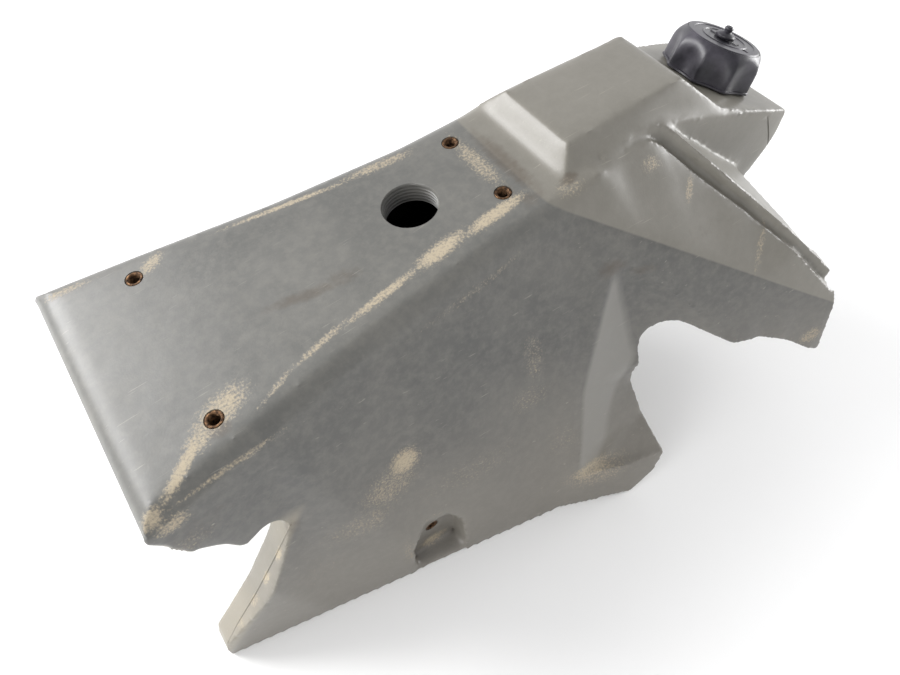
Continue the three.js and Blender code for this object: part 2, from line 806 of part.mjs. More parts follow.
function tapBody() {
  const outletRoot = -tapBarrelRadius + 3;
  const spigot = rod(4, 0, outletLength).rotate([90, 0, 0]).translate([0, outletRoot, outletHeight]);
  const barb = turned([[0, -3], [4, -3], [4.9, 0], [4, 0.8], [0, 0.8]])
    .rotate([90, 0, 0])
    .translate([0, outletRoot - outletLength + 2, outletHeight]);
  const body = join([
    eared(tapScrewSpread, 6.2, 13.5, tapFlangeLow, tapFlangeTop),
    rod(tapBarrelRadius, tapFlangeLow, tapFaceHeight),
    eared(plateScrewSpread, 3.4, tapBarrelRadius - 2, tapFlangeTop, tapFaceHeight),
    spigot,
    barb,
  ]);
  return cut(body, [
    ...screwHoles(tapScrewSpread, tapScrewDiameter / 2 + gap, -1, tapFlangeTop + 5),
    ...screwHoles(plateScrewSpread, plateScrewDiameter / 2 + gap, tapFaceHeight - 7, tapFaceHeight + 1),
    rod(strainerRadius + gap, tapFlangeLow - 1, drumLow - 4),
    rod(2.2, drumLow - 5, drumLow + 1, 16).translate([0, 5, 0]),
    rod(drumRadius + gap, drumLow, tapFaceHeight + 1),
    rod(2.2, 0, outletLength + 8, 16).rotate([90, 0, 0]).translate([0, -3, outletHeight]),
    rod(2.2, outletHeight, drumLow + 1, 16).translate([0, -5, 0]),
  ]);
}

// Strainer: a tube closed at its far end, with rows of slots, pushed into the tap's back.
function tapStrainer() {
  const top = drumLow - 5;
  const slots = [0, 1, 2].flatMap((row) =>
    [0, 90].map((angle) =>
      solid(new THREE.BoxGeometry(4 * strainerRadius, 2, 4).rotateZ(THREE.MathUtils.degToRad(angle))
        .translate(0, 0, -strainerLength + 7 + 8 * row)),
    ),
  );
  return cut(rod(strainerRadius, -strainerLength, top, 24), [
    rod(strainerRadius - 1.1, -strainerLength + 1.5, top + 1, 24),
    ...slots,
  ]);
}

const tapPacking = () =>
  cut(rod(drumRadius - 0.1, drumLow + gap, packingTop, 32), [
    ...[0, 90, 180, 270].map((angle) => rod(2, 0, 40, 10).translate([0, 5, 0]).rotate([0, 0, angle])),
  ]);

function tapLever() {
  const low = drumTop + leverRise;
  const high = low + leverThickness;
  const blade = solid(
    new THREE.BoxGeometry(6.5, leverLength, leverThickness)
      .translate(0, -leverLength / 2, (low + high) / 2),
  );
  return join([
    rod(drumRadius - 0.2, packingTop + gap, tapFaceHeight - 0.2),
    rod(plateBore - 0.4, packingTop + gap, high, 32),
    rod(4.2, low, high, 24).translate([0, -leverLength, 0]),
    blade,
  ]);
}

const waveWasher = () =>
  cut(rod(drumRadius - 0.2, tapFaceHeight + 0.1, tapFaceHeight + 0.1 + washerThickness, 32), [
    rod(plateBore, 0, 60, 32),
  ]);

const plateLow = tapFaceHeight + 0.1 + washerThickness + gap;
const leverPlate = () =>
  cut(eared(plateScrewSpread, 3.4, drumRadius + 1.6, plateLow, plateLow + plateThickness), [
    rod(plateBore, 0, 60, 32),
    ...screwHoles(plateScrewSpread, plateScrewDiameter / 2 + gap, 0, 60),
  ]);

// ---------------------------------------------------------------- assembly
const material = (color, roughness, metalness = 0) =>
  new THREE.MeshStandardMaterial({ color, roughness, metalness });
const finishes = {
  polyethylene: material(0x5c6062, 0.55),
  brass: material(0x8a5a3c, 0.5, 1),
  blackPlastic: material(0x24232a, 0.4),
  rubber: material(0x1d1d1d, 0.8),
  steel: material(0xa9aaab, 0.35, 1),
  castAlloy: material(0x9a9b9c, 0.5, 1),
  nylon: material(0xe6e2d4, 0.5),
};

const tank = new THREE.Group();
tank.name = "fuel_tank";
tank.position.x = -length / 2;

function add(name, body, finish, place) {
  const mesh = new THREE.Mesh(geometryOf(body), finish);
  mesh.name = name;
  if (place) {
    mesh.position.set(...place.at);
    mesh.rotation.set(...place.turn.map(THREE.MathUtils.degToRad));
  }
  tank.add(mesh);
}

add("tank_shell", shell(), finishes.polyethylene);
for (const [name, place] of insertPlaces) {
  add(name, threadedInsert(insertDiameter, insertBore, insertLength, insertFlange), finishes.brass, place);
}
add("cap_shell", capShell(), finishes.blackPlastic, neckPlace);
add("cap_disc", capDisc(), finishes.blackPlastic, neckPlace);
add("cap_gasket", capGasket(), finishes.rubber, neckPlace);
add("vent_plug", ventPlug(), finishes.blackPlastic, neckPlace);
add("vent_seat", ventSeat(), finishes.nylon, neckPlace);
add("vent_ball", ventBall(), finishes.steel, neckPlace);

add("tap_gasket", tapGasket(), finishes.rubber, tapPlace);
add("tap_body", tapBody(), finishes.castAlloy, tapPlace);
add("tap_strainer", tapStrainer(), finishes.nylon, tapPlace);
add("tap_packing", tapPacking(), finishes.rubber, tapPlace);
add("tap_lever", tapLever(), finishes.castAlloy, tapPlace);
add("tap_wave_washer", waveWasher(), finishes.steel, tapPlace);
add("tap_lever_plate", leverPlate(), finishes.steel, tapPlace);

const shifted = (place, x, up) => ({
  at: [place.at[0] + x, place.at[1] - up, place.at[2]],
  turn: place.turn,
});
for (const [name, side] of [["rear", -1], ["front", 1]]) {
  const x = side * tapScrewSpread;
  add("tap_insert_" + name,
    threadedInsert(tapInsertDiameter, tapScrewDiameter + 2 * gap, tapInsertLength, tapInsertDiameter),
    finishes.brass, shifted(tapPlace, x, 0));
  add("tap_screw_" + name, screw(tapScrewDiameter, tapFlangeTop + gap + tapInsertLength - 1, 9, 3.2),
    finishes.steel, shifted(tapPlace, x, tapFlangeTop + gap));
  add("plate_screw_" + name, screw(plateScrewDiameter, plateThickness + gap + 6, 5.4, 2),
    finishes.steel, shifted(tapPlace, side * plateScrewSpread, plateLow + plateThickness + gap));
}

export default tank;
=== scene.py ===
import json
import math

import bmesh
import bpy
import numpy as np
from mathutils import Matrix, Vector
from mathutils.bvhtree import BVHTree
from mathutils.kdtree import KDTree


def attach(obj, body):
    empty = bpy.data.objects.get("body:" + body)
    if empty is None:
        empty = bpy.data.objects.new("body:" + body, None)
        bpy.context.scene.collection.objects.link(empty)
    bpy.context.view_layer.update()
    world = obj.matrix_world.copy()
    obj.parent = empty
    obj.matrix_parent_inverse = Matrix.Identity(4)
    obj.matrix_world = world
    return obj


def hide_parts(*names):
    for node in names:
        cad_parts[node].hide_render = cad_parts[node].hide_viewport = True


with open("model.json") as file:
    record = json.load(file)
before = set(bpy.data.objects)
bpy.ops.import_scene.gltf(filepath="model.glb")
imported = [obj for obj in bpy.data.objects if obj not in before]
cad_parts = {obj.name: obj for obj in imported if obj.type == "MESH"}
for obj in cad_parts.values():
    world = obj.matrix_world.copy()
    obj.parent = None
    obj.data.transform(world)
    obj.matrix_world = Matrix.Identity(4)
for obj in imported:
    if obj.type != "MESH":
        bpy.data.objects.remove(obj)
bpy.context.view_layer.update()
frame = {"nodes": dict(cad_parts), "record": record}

# ---------------------------------------------------------------- studio
# A pale floor under soft light. The backdrop is bright near the horizon and dimmer overhead, so
# that faces turned to the rear and the front pick up a pale sheen and level ones stay darker.
STANDPOINT = Vector((-0.207, -0.290, 0.587))
LOOK = Vector((0.3339, 0.4844, -0.8086))
FOCAL_LENGTH = 29.12
FLOOR_REACH = 7.0
SUBJECT = Vector((0, 0, 0.15))


def linear(code):
    """An sRGB hex colour as linear red, green, blue and alpha."""
    channels = [int(code[i:i + 2], 16) / 255 for i in (1, 3, 5)]
    return [c / 12.92 if c <= 0.04045 else ((c + 0.055) / 1.055) ** 2.4 for c in channels] + [1.0]


def add(tree, kind, inputs=None, **settings):
    """Adds a node, sets its properties, then sets or links its inputs."""
    made = tree.nodes.new(kind)
    for key, value in settings.items():
        setattr(made, key, value)
    for key, value in (inputs or {}).items():
        socket = made.inputs[key]
        if isinstance(value, bpy.types.NodeSocket):
            tree.links.new(value, socket)
        else:
            socket.default_value = value
    return made


def new_object(name, data):
    """A scene object for a mesh, a camera or a lamp."""
    made = bpy.data.objects.new(name, data)
    bpy.context.scene.collection.objects.link(made)
    return made


def surface(name):
    """A new material with its shader, and the place on the piece that patterns read."""
    made = bpy.data.materials.new(name)
    made.use_nodes = True
    tree = made.node_tree
    shader = tree.nodes["Principled BSDF"]
    place = add(tree, "ShaderNodeTexCoord").outputs["Object"]
    return made, tree, shader, place


bpy.context.scene.view_settings.view_transform = "Standard"

camera = new_object("camera", bpy.data.cameras.new("camera"))
camera.data.sensor_width = 36
camera.data.lens = FOCAL_LENGTH
camera.location = STANDPOINT
camera.rotation_mode = "QUATERNION"
camera.rotation_quaternion = LOOK.to_track_quat("-Z", "Y")
camera.data.clip_start = 0.01
bpy.context.scene.camera = camera

floor_mesh = bpy.data.meshes.new("floor")
floor_corners = [(x * FLOOR_REACH, y * FLOOR_REACH, 0) for x, y in ((-1, -1), (1, -1), (1, 1), (-1, 1))]
floor_mesh.from_pydata(floor_corners, [], [(0, 1, 2, 3)])
floor = new_object("floor", floor_mesh)
white, tree, shader, _ = surface("matt white paper")
shader.inputs["Base Color"].default_value = linear("#f7f7f6")
shader.inputs["Roughness"].default_value = 0.9
floor_mesh.materials.append(white)

world = bpy.data.worlds.new("studio")
bpy.context.scene.world = world
world.use_nodes = True
tree = world.node_tree
direction = add(tree, "ShaderNodeTexCoord").outputs["Generated"]
facing = add(tree, "ShaderNodeSeparateXYZ", {0: direction}).outputs
sky = add(tree, "ShaderNodeMapRange", {
    "Value": facing["Z"], "From Min": 0.1, "From Max": 0.9, "To Min": 1.6, "To Max": 0.75,
}, interpolation_type="SMOOTHSTEP").outputs[0]
near_side = add(tree, "ShaderNodeMapRange", {
    "Value": facing["Y"], "From Min": -0.9, "From Max": 0.3, "To Min": 0.52, "To Max": 1.0,
}, interpolation_type="SMOOTHSTEP").outputs[0]
sky = add(tree, "ShaderNodeMath", {0: sky, 1: near_side}, operation="MULTIPLY").outputs[0]
tree.links.new(sky, tree.nodes["Background"].inputs["Strength"])
tree.nodes["Background"].inputs["Color"].default_value = linear("#fdfdff")

for name, spot, width, power in [
    ("far softbox", Vector((-1.25, 1.45, 1.5)), 1.2, 58),
    ("rear softbox", Vector((-2.1, -0.5, 0.7)), 1.4, 23),
    ("front softbox", Vector((2.2, -0.5, 0.35)), 1.0, 40),
]:
    lamp = bpy.data.lights.new(name, "AREA")
    lamp.size = width
    lamp.energy = power
    holder = new_object(name, lamp)
    holder.location = spot
    holder.rotation_mode = "QUATERNION"
    holder.rotation_quaternion = (SUBJECT - spot).to_track_quat("-Z", "Y")

# ---------------------------------------------------------------- tank shell
# One rotationally moulded polyethylene shell with soft, rounded edges everywhere. It is the CAD
# shell, rounded as a moulding is, with its port, neck and sockets cut crisply again afterwards.
MM = 0.001
VOXEL = 1.7 * MM
SMALL_ROUNDING = 3  # smoothing passes on every edge
LARGE_ROUNDING = 9  # on the big soft forms
NOTCH_ROUNDING = 24  # on the curved notch behind each leg, where the flat cuts would show
FOLD_ROUNDING = 70  # where a form only bends a little, so that real edges stay
FAINT_FOLD = 0.12 * MM  # a fold that loses less than this to rounding is only a facet
CLEAR_FOLD = 0.4 * MM  # and one that loses more is a real edge
SHELL_TRIANGLES = 175000
DECK_TILT = math.atan(0.1194)  # the deck climbs towards the front
PORT_AT = Vector((-37.5, 0, 267.45)) * MM
PORT_RADIUS = 18 * MM
NECK_AT = Vector((227, 0, 258.36)) * MM
NECK_TILT = math.atan(19.5 / 54)
NECK_RADIUS = 27 * MM
NECK_BORE = 22 * MM
NECK_HEIGHT = 21 * MM
THREAD_PITCH = 6 * MM
THREAD_START = 5 * MM  # how far the neck's and the cap's threads stand from the shelf
THREAD_TURNS = 1.75
DECK_INSERTS = [Vector((x, side * y, z)) * MM for x, y, z in ((-201, 59.7, 247.93), (13, 29, 273.48))
                for side in (-1, 1)]
SIDE_INSERTS = [Vector((-96, side * 104, 40)) * MM for side in (-1, 1)]
# The hollow between each wing's outer facet and its raised lip: x, half-width, z and its radius.
GUTTER = [
    (48, 52.5, 277.5, 0.6), (62, 53, 279, 1.6), (75, 52, 280, 2.0), (88, 49.6, 281, 2.4),
    (101, 47, 282, 2.8), (110, 46.3, 282.3, 3.2), (119, 46.3, 281.5, 3.6), (130, 49.3, 274, 3.9),
    (152, 68.4, 252, 4.0), (184, 97.3, 222.5, 4.0), (214, 130.6, 192.5, 4.0), (247, 154.8, 151.5, 3.8),
    (259, 158.5, 136, 3.0), (266, 160, 126, 1.0),
]
# The mould's seam across the nose, and its parting line down the rear edge of each leg.
NOSE_SEAM = [(239, 54.5, 251), (242, 54, 246), (251, 53.8, 230), (260, 53.6, 213), (263, 53.6, 207)]
SEAM_RADIUS = 0.9 * MM
FLASH = [(-191, 92.5, 152), (-193, 92, 149), (-207, 89, 121), (-230, 87.5, 80), (-253, 88, 48),
         (-266, 90, 30), (-269, 90, 15)]
FLASH_RADIUS = 0.5 * MM
SOCKET_RADIUS = 5.3 * MM
FLANGE_RADIUS = 5.6 * MM


def merged_copy(node, name):
    """A CAD node's mesh as a new object, with its loose triangles joined up."""
    mesh = frame["nodes"][node].data.copy()
    shape = bmesh.new()
    shape.from_mesh(mesh)
    bmesh.ops.remove_doubles(shape, verts=shape.verts, dist=1e-6)
    shape.to_mesh(mesh)
    shape.free()
    mesh.materials.clear()
    return new_object(name, mesh)


def bake(piece):
    """Makes a piece's modifiers its plain mesh."""
    evaluated = piece.evaluated_get(bpy.context.evaluated_depsgraph_get())
    made = bpy.data.meshes.new_from_object(evaluated)
    piece.modifiers.clear()
    piece.data = made
    return piece


def solid(name, shape, place=Matrix()):
    """A closed bmesh as an object where it belongs, with its faces pointing out."""
    bmesh.ops.recalc_face_normals(shape, faces=shape.faces)
    shape.transform(place)
    mesh = bpy.data.meshes.new(name)
    shape.to_mesh(mesh)
    shape.free()
    return new_object(name, mesh)


def angles(count):
    """Even steps round a circle."""
    return [2 * math.pi * i / count for i in range(count)]


def turned(name, profile, place, segments=64):
    """A closed turned solid from [radius, height] corners, which start and end on the axis."""
    shape = bmesh.new()
    rings = []
    for radius, height in profile:
        if radius < 1e-7:
            rings.append([shape.verts.new((0, 0, height))])
        else:
            rings.append([shape.verts.new((radius * math.cos(a), radius * math.sin(a), height))
                          for a in angles(segments)])
    for low, high in zip(rings, rings[1:]):
        for i in range(segments):
            j = (i + 1) % segments
            corners = [low[i % len(low)], low[j % len(low)], high[j % len(high)], high[i % len(high)]]
            shape.faces.new(list(dict.fromkeys(corners)))
    return solid(name, shape, place)


def tube(name, shape, rings, place=Matrix()):
    """A closed solid from rings of vertices, one joined to the next and capped at both ends."""
    for low, high in zip(rings, rings[1:]):
        for i in range(len(low)):
            j = (i + 1) % len(low)
            shape.faces.new([low[i], low[j], high[j], high[i]])
    shape.faces.new(rings[0])
    shape.faces.new(rings[-1])
    return solid(name, shape, place)


def swept(name, path, radii, place=Matrix(), sides=10):
    """A closed round bar along a path, with a radius at each of its points."""
    shape = bmesh.new()
    rings = []
    for i, (middle, radius) in enumerate(zip(path, radii)):
        along = (path[min(i + 1, len(path) - 1)] - path[max(i - 1, 0)]).normalized()
        across = along.cross(Vector((0, 0, 1))).normalized()
        up = across.cross(along)
        rings.append([shape.verts.new(middle + (across * math.cos(a) + up * math.sin(a)) * radius)
                      for a in angles(sides)])
    return tube(name, shape, rings, place)


def thread_ridge(name, radius, section, phase, place):
    """A ridge of round section along the filler's right-hand thread, tapered at both ends."""
    steps = int(THREAD_TURNS * 48)
    path = []
    for i in range(steps + 1):
        angle = 2 * math.pi * THREAD_TURNS * i / steps + phase
        height = THREAD_START + THREAD_PITCH * THREAD_TURNS * i / steps
        path.append(Vector((radius * math.cos(angle), radius * math.sin(angle), height)))
    radii = [section * min(1, 6 * min(i, steps - i) / steps + 0.15) for i in range(steps + 1)]
    return swept(name, path, radii, place)


def combine(piece, others, operation):
    """Joins other solids to a piece, or cuts them out of it, and removes them."""
    for other in others:
        boolean = piece.modifiers.new(operation, "BOOLEAN")
        boolean.operation = operation
        boolean.solver = "MANIFOLD"
        boolean.object = other
        bake(piece)
        bpy.data.objects.remove(other)
    piece.data.materials.clear()  # a boolean leaves an empty slot behind
    return piece


def soft_shade(piece, angle=38):
    """Smooth shading that keeps edges sharper than an angle in degrees."""
    piece.data.shade_smooth()
    piece.data.set_sharp_from_angle(angle=math.radians(angle))


def on_deck(point):
    """Where a socket or port in the deck stands, its own Z pointing out of the deck."""
    return Matrix.Translation(point) @ Matrix.Rotation(-DECK_TILT, 4, "Y")


def on_side(point):
    """The same for a socket in a side pocket."""
    return Matrix.Translation(point) @ Matrix.Rotation(math.pi / 2 * (1 if point.y < 0 else -1), 4, "X")


NECK_PLACE = Matrix.Translation(NECK_AT) @ Matrix.Rotation(NECK_TILT, 4, "Y")
insert_places = [on_deck(p) for p in DECK_INSERTS] + [on_side(p) for p in SIDE_INSERTS]

# The CAD shell's holes are filled first, so that rounding leaves no trace of them.
shell = merged_copy("tank_shell", "moulded_shell")
plugs = [
    turned("plug", [(0, -depth), (radius, -depth), (radius, 0), (0, 0)], place)
    for place, radius, depth in
    [(on_deck(PORT_AT), 20.5 * MM, 15 * MM)] + [(place, 7 * MM, 13 * MM) for place in insert_places]
]
combine(shell, plugs, "UNION")
gutters = [
    swept("gutter", [Vector((x, side * y, z)) * MM for x, y, z, _ in GUTTER], [r * MM for *_, r in GUTTER])
    for side in (-1, 1)
]
combine(shell, gutters, "DIFFERENCE")
remesh = shell.modifiers.new("skin", "REMESH")
remesh.mode = "VOXEL"
remesh.voxel_size = VOXEL
bake(shell)


def coordinates(mesh):
    """A mesh's vertices as an array of metres."""
    flat = np.empty(len(mesh.vertices) * 3, np.float32)
    mesh.vertices.foreach_get("co", flat)
    return flat.reshape(-1, 3)


def ease(value, low, high):
    """0 below low, 1 above high and a smooth step between."""
    t = np.clip((value - low) / (high - low), 0, 1)
    return t * t * (3 - 2 * t)


def soften(piece, name, weights, passes):
    """Rounds a piece off, more where its vertices have more weight."""
    group = piece.vertex_groups.new(name=name)
    for level in range(1, 11):
        chosen = np.nonzero(np.round(weights * 10) == level)[0]
        if len(chosen):
            group.add([int(i) for i in chosen], level / 10, "REPLACE")
    smooth = piece.modifiers.new(name, "SMOOTH")
    smooth.factor = 0.5
    smooth.iterations = passes
    smooth.vertex_group = name
    bake(piece)
    piece.vertex_groups.clear()


# The big forms are softened less close to the gutter, the side pockets and the filler neck.
sharp = coordinates(shell.data)
mirrored = np.column_stack([sharp[:, 0], np.abs(sharp[:, 1]), sharp[:, 2]])
hollow = [Vector((x, y, z)) for x, y, z, _ in GUTTER]
trace = np.array([a.lerp(b, t / 8) for a, b in zip(hollow, hollow[1:]) for t in range(8)], np.float32) * MM
from_gutter = np.full(len(sharp), 1.0, np.float32)
for spot in trace:
    from_gutter = np.minimum(from_gutter, np.linalg.norm(mirrored - spot, axis=1))
from_pocket = np.linalg.norm(sharp[:, [0, 2]] - [-96 * MM, 30 * MM], axis=1)
from_neck = np.linalg.norm(sharp - np.array(NECK_AT), axis=1)
at_pocket = (1 - ease(from_pocket, 34 * MM, 45 * MM)) * ease(mirrored[:, 1], 95 * MM, 100 * MM)
softness = 0.6 + 0.4 * ease(from_gutter, 6 * MM, 13 * MM)
softness *= 1 - 0.75 * at_pocket
softness *= 1 - 0.7 * (1 - ease(from_neck, 30 * MM, 42 * MM))
soften(shell, "every edge", np.ones(len(sharp)), SMALL_ROUNDING)
soften(shell, "soft forms", softness, LARGE_ROUNDING)
notch = 1 - ease(sharp[:, 0], -200 * MM, -185 * MM)
notch *= ease(sharp[:, 2], 140 * MM, 155 * MM) * (1 - ease(sharp[:, 2], 218 * MM, 232 * MM))
soften(shell, "rear notch", notch, NOTCH_ROUNDING)

rounded = coordinates(shell.data)
normals = np.empty(len(rounded) * 3, np.float32)
shell.data.vertex_normals.foreach_get("vector", normals)
lost = np.einsum("ij,ij->i", sharp - rounded, normals.reshape(-1, 3))  # what rounding took off an edge
soften(shell, "faint folds", 1 - ease(np.abs(lost), FAINT_FOLD, CLEAR_FOLD), FOLD_ROUNDING)

# The neck, its thread and the mould's lines are added after the rounding, and the bores are cut.
skin = BVHTree.FromPolygons([v.co for v in shell.data.vertices],
                            [tuple(p.vertices) for p in shell.data.polygons])
flashes = [
    swept("flash", [skin.find_nearest(Vector((x, side * y, z)) * MM)[0] for x, y, z in FLASH],
          [FLASH_RADIUS] * len(FLASH), sides=6)
    for side in (-1, 1)
]
neck = turned("neck", [
    (0, -6 * MM), (NECK_RADIUS, -6 * MM), (NECK_RADIUS + 0.2 * MM, NECK_HEIGHT - 1.2 * MM),
    (NECK_RADIUS - 0.8 * MM, NECK_HEIGHT), (0, NECK_HEIGHT),
], NECK_PLACE, 96)
thread = thread_ridge("thread", NECK_RADIUS, 1.25 * MM, 0, NECK_PLACE)
combine(shell, [neck, thread, *flashes], "UNION")
seams = [
    swept("seam", [Vector((x, side * y, z)) * MM for x, y, z in NOSE_SEAM],
          [SEAM_RADIUS] * len(NOSE_SEAM), sides=6)
    for side in (-1, 1)
]
combine(shell, seams, "DIFFERENCE")
bore = turned("bore", [
    (0, -18 * MM), (NECK_BORE, -18 * MM), (NECK_BORE, NECK_HEIGHT - 0.8 * MM),
    (NECK_BORE + 1.2 * MM, NECK_HEIGHT + 0.6 * MM), (0, NECK_HEIGHT + 0.6 * MM),
], NECK_PLACE, 96)
port_thread = [
    (PORT_RADIUS + (1.1 * MM if i % 4 in (1, 2) else 0), (-18.5 + 0.72 * i) * MM) for i in range(24)
]
port = turned("port", [
    (0, -19 * MM), *port_thread, (PORT_RADIUS, -1.0 * MM), (PORT_RADIUS + 0.9 * MM, 0.3 * MM),
    (PORT_RADIUS + 0.9 * MM, 2 * MM), (0, 2 * MM),
], on_deck(PORT_AT), 72)
sockets = [
    turned("socket", [
        (0, -11.3 * MM), (SOCKET_RADIUS, -11.3 * MM), (SOCKET_RADIUS, -1.3 * MM), (FLANGE_RADIUS, -1.3 * MM),
        (FLANGE_RADIUS + 0.4 * MM, 0.4 * MM), (0, 0.4 * MM),
    ], place, 40)
    for place in insert_places
]
combine(shell, [bore, port, *sockets], "DIFFERENCE")
thinning = shell.modifiers.new("thinning", "DECIMATE")
thinning.ratio = SHELL_TRIANGLES / sum(len(p.vertices) - 2 for p in shell.data.polygons)
bake(shell)
shell.data.materials.clear()
soft_shade(shell, 34)

# Every vertex keeps how many millimetres rounding took off there, so that edges can look rubbed
# and creases darker, with dirt and painted shade.
nearest = KDTree(len(rounded))
for i, point in enumerate(rounded.tolist()):
    nearest.insert(point, i)
nearest.balance()
wear = shell.data.attributes.new("edge", "FLOAT", "POINT")
wear.data.foreach_set("value", [float(lost[nearest.find(v.co)[1]]) / MM for v in shell.data.vertices])

# Polyethylene, moulded in grey: waxy, half matt, and scuffed by boots and dust. The front end is
# bleached to an olive grey; the rear has kept its bluish grey. Sizes are millimetres on the tank.
GREY = linear("#595956")
# the sides' grey: painted shade, darker than the deck's grey
SHADED_SIDE_GREY = linear("#4b4b49")
OLIVE = linear("#716e66")
# the legs' rear faces: dust colour and painted light from the rear
LEG_DUST_AND_LIGHT = linear("#837d6e")
SAND = linear("#b5a78e")
# earth brown for stains, and for the creases' dirt and painted shade
EARTH_AND_SHADE = linear("#4d4236")
CHALK = linear("#cfcabb")
GRIME = linear("#8a847a")
# painted highlight on the scoops' strips
STRIP_HIGHLIGHT = linear("#86847f")
CLOUDED = linear("#8b8880")
MOTTLED = linear("#85827a")
LEG_REAR = (-0.569, -0.2705)  # the legs' rear faces, as x at every height: slope and start
SCOOP_CREASE = ((0.11, 0.0243), (0.3, 0.0009))  # the scoop's rear edge, below and above its knee
SCOOP_VALLEY = ((0.393, 0.0377), (-0.205, 0.117))  # and its front edge
DUST_PATCHES = [  # centre, radii, turn in the deck's plane in degrees, strength
    ((-196, -57, 249), (26, 13, 14), 20, 0.85),
    ((-226, -75, 245), (34, 5, 9), 36, 1.0),
    ((-213, -66, 247), (16, 9, 10), 25, 0.8),
    ((-250, -89, 238), (10, 7, 9), 30, 0.9),
    ((-43, -42, 267), (28, 8, 12), 8, 1.0),
    ((-2, -40, 272), (34, 6.5, 12), 5, 1.0),
    ((-86, -48, 261), (40, 4.5, 12), 8, 0.9),
    ((-132, -54, 256), (30, 3.5, 12), 12, 0.75),
    ((-165, -63, 252), (22, 3, 12), 22, 0.65),
    ((-98, 52, 260), (74, 3, 12), -11, 0.85),
    ((-36, 43, 268), (40, 6, 12), -8, 0.75),
    ((-188, 64, 249), (14, 7, 9), 30, 0.8),
    ((-240, 79, 243), (26, 5, 8), -8, 0.7),
    ((-75, -71.5, 255), (112, 1.5, 14), 5.6, 0.6),
    ((-210, -86, 240.5), (48, 1.5, 9), 6.2, 0.7),
    ((-243, -93, 231), (14, 6, 8), 10, 0.8),
    ((-206, -91, 123), (6, 5, 16), 0, 0.8),
    ((-220, -90, 98), (6, 5, 18), 0, 0.8),
    ((-234, -90, 74), (6, 5, 17), 0, 0.7),
    ((-250, -91, 50), (6, 5, 16), 0, 0.6),
    ((16, 4, 273), (9, 40, 8), 0, 0.7),
    ((112, -58, 266), (12, 6, 12), 0, 0.7),
    ((138, -76, 247), (16, 4, 12), 48, 0.75),
    ((184, -119, 199), (30, 4, 26), 46, 0.6),
    ((-108, -92, 145), (15, 30, 17), 0, 1.0),
    ((-122, -98, 132), (34, 30, 26), 0, 0.6),
    ((-148, -102, 112), (40, 30, 22), 0, 0.48),
    ((-188, -100, 74), (30, 30, 26), 0, 0.3),
    ((2, -88, 172), (12, 30, 36), 0, 0.45),
    ((-6, -97, 138), (26, 30, 18), 0, 0.42),
    ((-60, -104, 100), (60, 30, 26), 0, 0.35),
    ((18, -118, 80), (22, 30, 26), 0, 0.35),
    ((-242, -96, 206), (20, 30, 14), 0, 0.42),
    ((-122, -106, 40), (9, 22, 26), 0, 0.5),
    ((-96, -106, 66), (24, 18, 6), 0, 0.35),
    ((-96, -104, 14), (16, 12, 9), 0, 0.8),
    ((40, -138, 36), (30, 14, 11), 0, 0.8),
    ((44, -140, 32), (46, 26, 18), 0, 0.55),
    ((236, -168, 106), (16, 10, 12), 0, 0.7),
    ((48, -52, 276), (16, 10, 8), 0, 0.5),
]
DARK_PATCHES = [
    ((-124, -19, 258), (36, 6, 10), -13, 0.8),
    ((-100, -22, 261), (18, 9, 10), -10, 0.6),
    ((-201, -66, 247), (9, 8, 9), 0, 0.9),
    ((-201, 59.7, 248), (9, 9, 9), 0, 0.6),
    ((13, -29, 273.5), (10, 9, 9), 0, 0.7),
    ((13, 29, 273.5), (9, 9, 9), 0, 0.6),
    ((-37.5, 0, 267), (23, 23, 9), 0, 0.45),
    ((-236, -97, 212), (34, 26, 16), 0, 0.45),
    ((66, -86, 221), (14, 14, 10), 0, 0.8),
    ((88, -95, 213), (16, 14, 7), 0, 0.6),
    ((50, -47, 279), (9, 5, 12), 0, 0.95),
    ((30, -8, 275), (9, 46, 9), 0, 0.85),
    ((24, -44, 274), (14, 9, 9), 0, 0.6),
    ((-191, -92, 150), (10, 9, 12), 0, 0.7),
    ((-96, -104, 22), (22, 12, 20), 0, 0.4),
    ((145, -98, 223), (40, 20, 9), 0, 0.35),
]
polyethylene, tree, shader, place = surface("rotomoulded polyethylene")


def patches(tree, place, marks):
    """The strongest of a list of soft oval marks at every spot.

    Each mark waits for the one before it, through a shift too small to see, because the renderer
    can't hold so many at once.
    """
    strongest = None
    for centre, radii, angle, strength in marks:
        middle = [c * MM for c in centre]
        if strongest is not None:
            middle = add(tree, "ShaderNodeVectorMath", {0: strongest, 1: (1e-9, 1e-9, 1e-9), 2: middle},
                         operation="MULTIPLY_ADD").outputs[0]
        local = add(tree, "ShaderNodeMapping", {
            "Vector": place,
            "Location": middle,
            "Rotation": (0, 0, math.radians(angle)),
            "Scale": [r * MM for r in radii],
        }, vector_type="TEXTURE")
        away = add(tree, "ShaderNodeVectorMath", {0: local.outputs[0]}, operation="LENGTH")
        mark = add(tree, "ShaderNodeMapRange", {
            "Value": away.outputs["Value"], "From Min": 0.2, "From Max": 1.35,
            "To Min": strength, "To Max": 0.0,
        }, interpolation_type="SMOOTHSTEP").outputs["Result"]
        if strongest is None:
            strongest = mark
        else:
            strongest = add(tree, "ShaderNodeMath", {0: strongest, 1: mark}, operation="MAXIMUM").outputs[0]
    return strongest


def grainy(tree, place, mark, size, spread, low, high):
    """A mark broken up into grains of a size in millimetres, as dust in a scuffed surface is."""
    grain = add(tree, "ShaderNodeTexNoise", {
        "Vector": place, "Scale": 1 / (size * MM), "Detail": 5, "Roughness": 0.65,
    }).outputs[0]
    offset = add(tree, "ShaderNodeMath", {0: grain, 1: -0.5, 2: 0.0}, operation="ADD").outputs[0]
    mixed = add(tree, "ShaderNodeMath", {0: offset, 1: spread, 2: mark}, operation="MULTIPLY_ADD").outputs[0]
    return add(tree, "ShaderNodeMapRange", {
        "Value": mixed, "From Min": low, "From Max": high,
    }, interpolation_type="SMOOTHSTEP").outputs["Result"]


